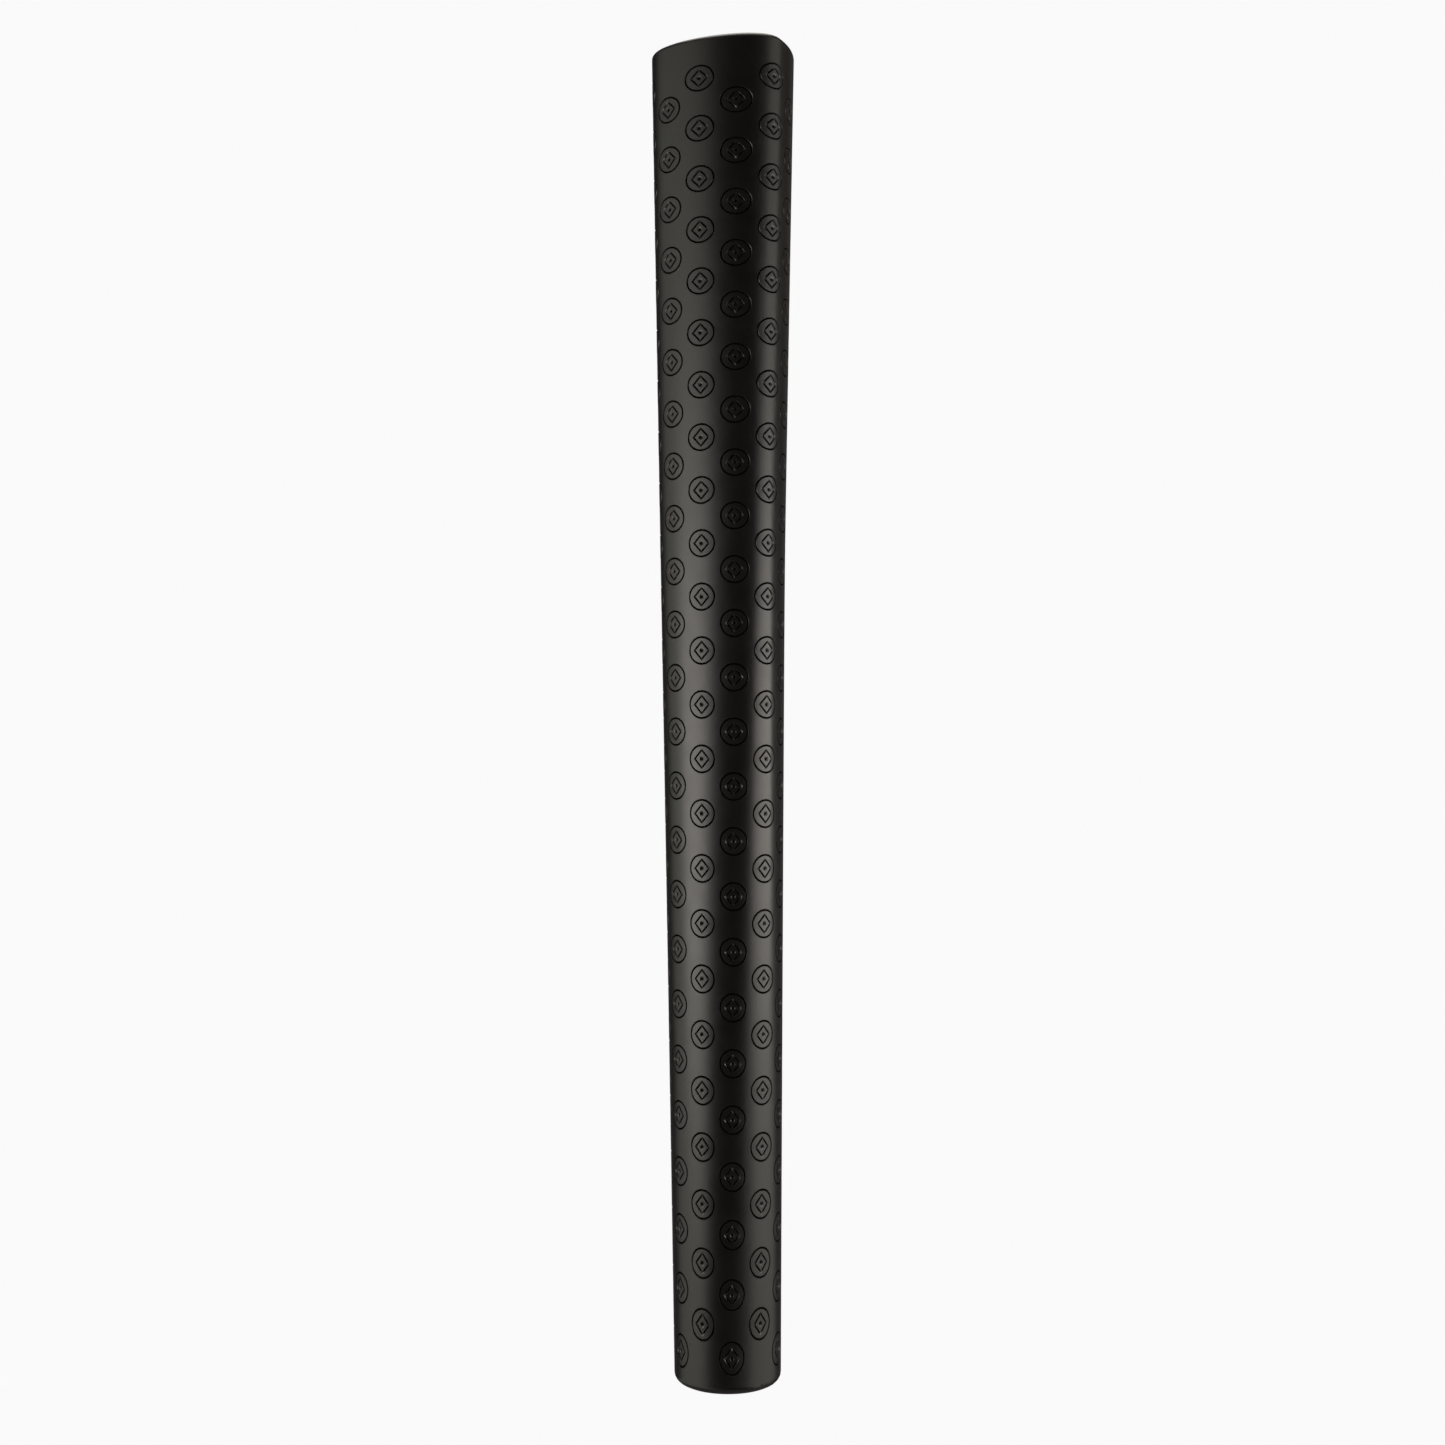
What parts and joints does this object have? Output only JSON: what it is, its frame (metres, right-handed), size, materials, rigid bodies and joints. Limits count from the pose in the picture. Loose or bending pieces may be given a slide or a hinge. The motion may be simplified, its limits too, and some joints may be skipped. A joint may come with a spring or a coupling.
{
  "type": "golf grip",
  "caption": "Oversize pistol-shaped putter grip: embossed polyurethane skin over a felt layer and a bored core, with a butt cap and a mouth collar.",
  "frame": {"origin": "centre of the shaft bore in the plane of the mouth, the grip's lower end", "axes": "+Z along the shaft bore from the mouth to the butt; the flat thumb face looks along -Y and the rounded pistol back along +Y"},
  "size_m": [0.0284, 0.0274, 0.2667],
  "materials": {
    "skin": "satin black embossed polyurethane",
    "seam": "satin black polyurethane bead",
    "felt": "non-woven felt",
    "core": "matt foam rubber",
    "cap": "matt moulded rubber",
    "collar": "matt moulded rubber"
  },
  "bodies": {
    "root": {"outer_skin": "skin", "seam_filler": "seam", "felt_backing": "felt", "underlisting": "core", "butt_cap": "cap", "mouth_collar": "collar"}
  },
  "joints": []
}
